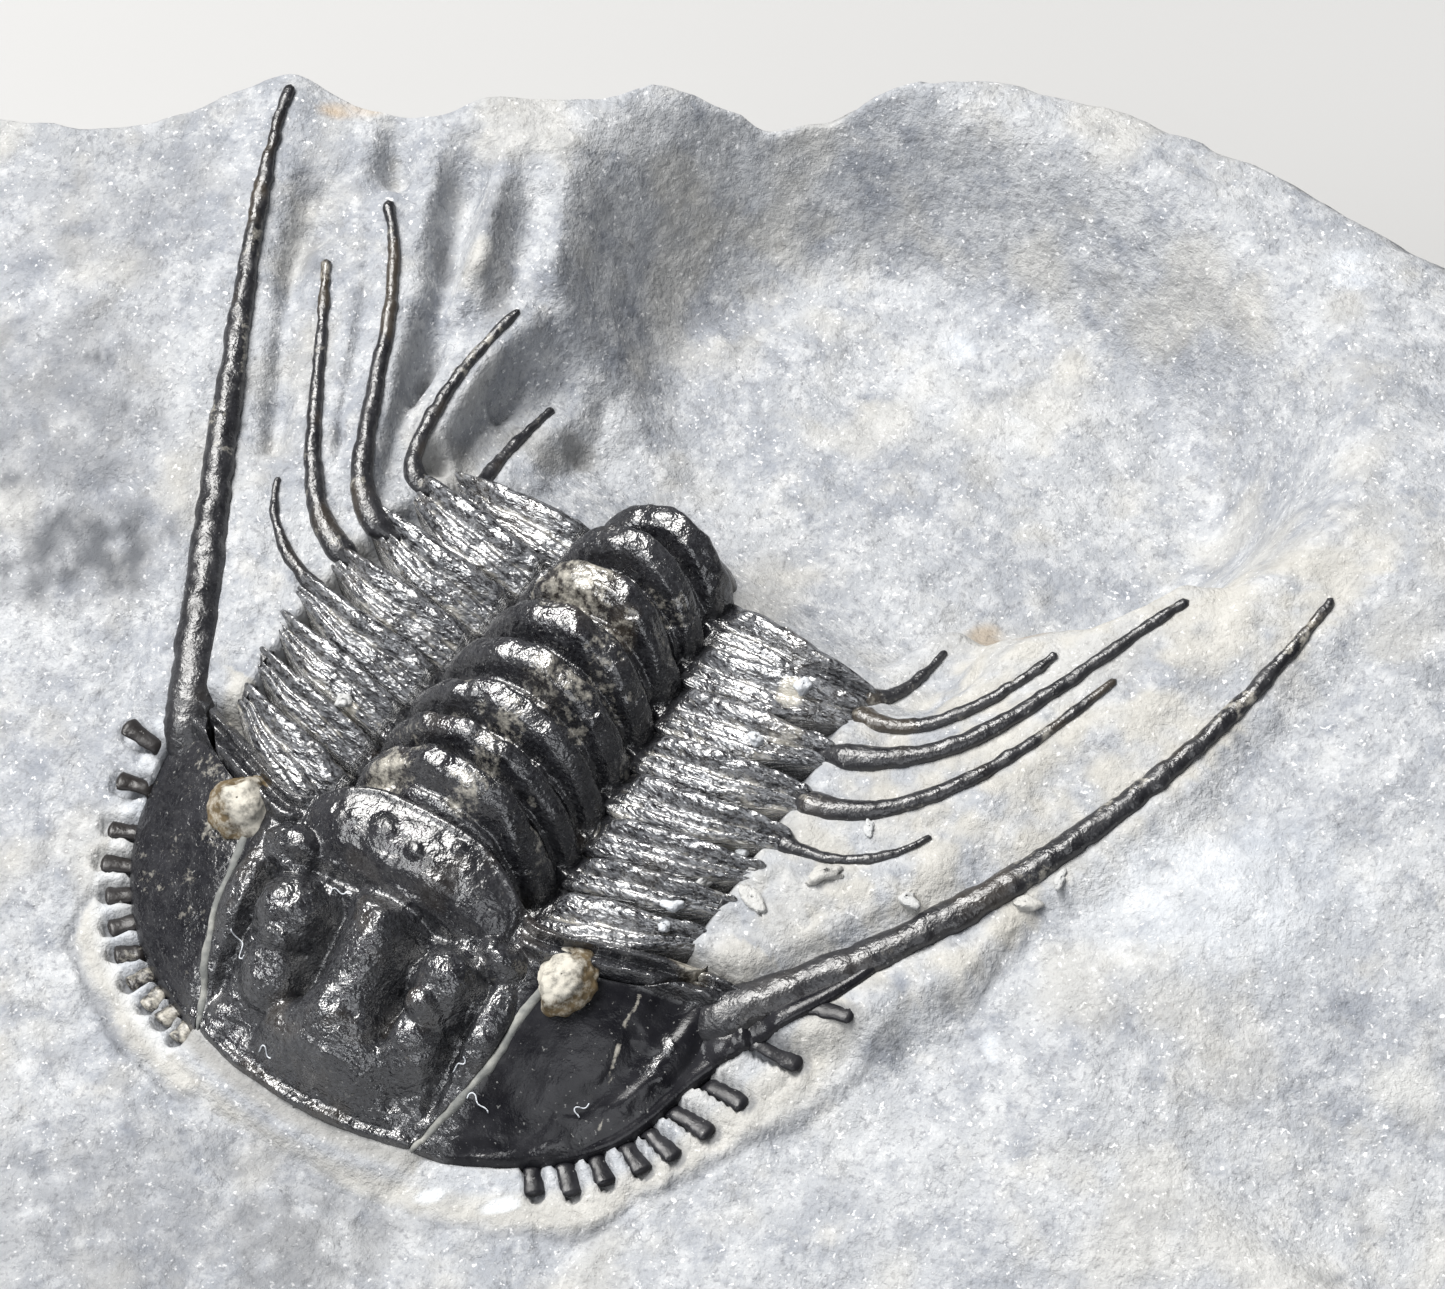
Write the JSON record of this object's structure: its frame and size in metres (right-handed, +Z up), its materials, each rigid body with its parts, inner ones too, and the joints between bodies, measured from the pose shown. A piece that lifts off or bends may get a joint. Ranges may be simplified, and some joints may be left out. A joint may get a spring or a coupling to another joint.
{
  "type": "leonaspis trilobite",
  "caption": "Spiny fossil trilobite with a fringed head, ribbed thorax and long curved spines, prepared on a block of grey limestone.",
  "frame": {"origin": "middle of the block's bounding box in plan, at its flat base", "axes": "+Z up from the base, +Y from the animal's head to its tail, +X to the animal's left"},
  "size_m": [0.082, 0.07, 0.0237],
  "materials": {
    "limestone": "matt, fine-grained, bluish grey with paler mottling",
    "shell": "satin to glossy black calcite with small grey highlights"
  },
  "bodies": {
    "root": {"matrix": "limestone", "cranidium": "shell", "free_cheek_left": "shell", "free_cheek_right": "shell", "thoracic_segment_1": "shell", "thoracic_segment_2": "shell", "thoracic_segment_3": "shell", "thoracic_segment_4": "shell", "thoracic_segment_5": "shell", "thoracic_segment_6": "shell", "thoracic_segment_7": "shell", "thoracic_segment_8": "shell", "pygidium": "shell"}
  },
  "joints": []
}
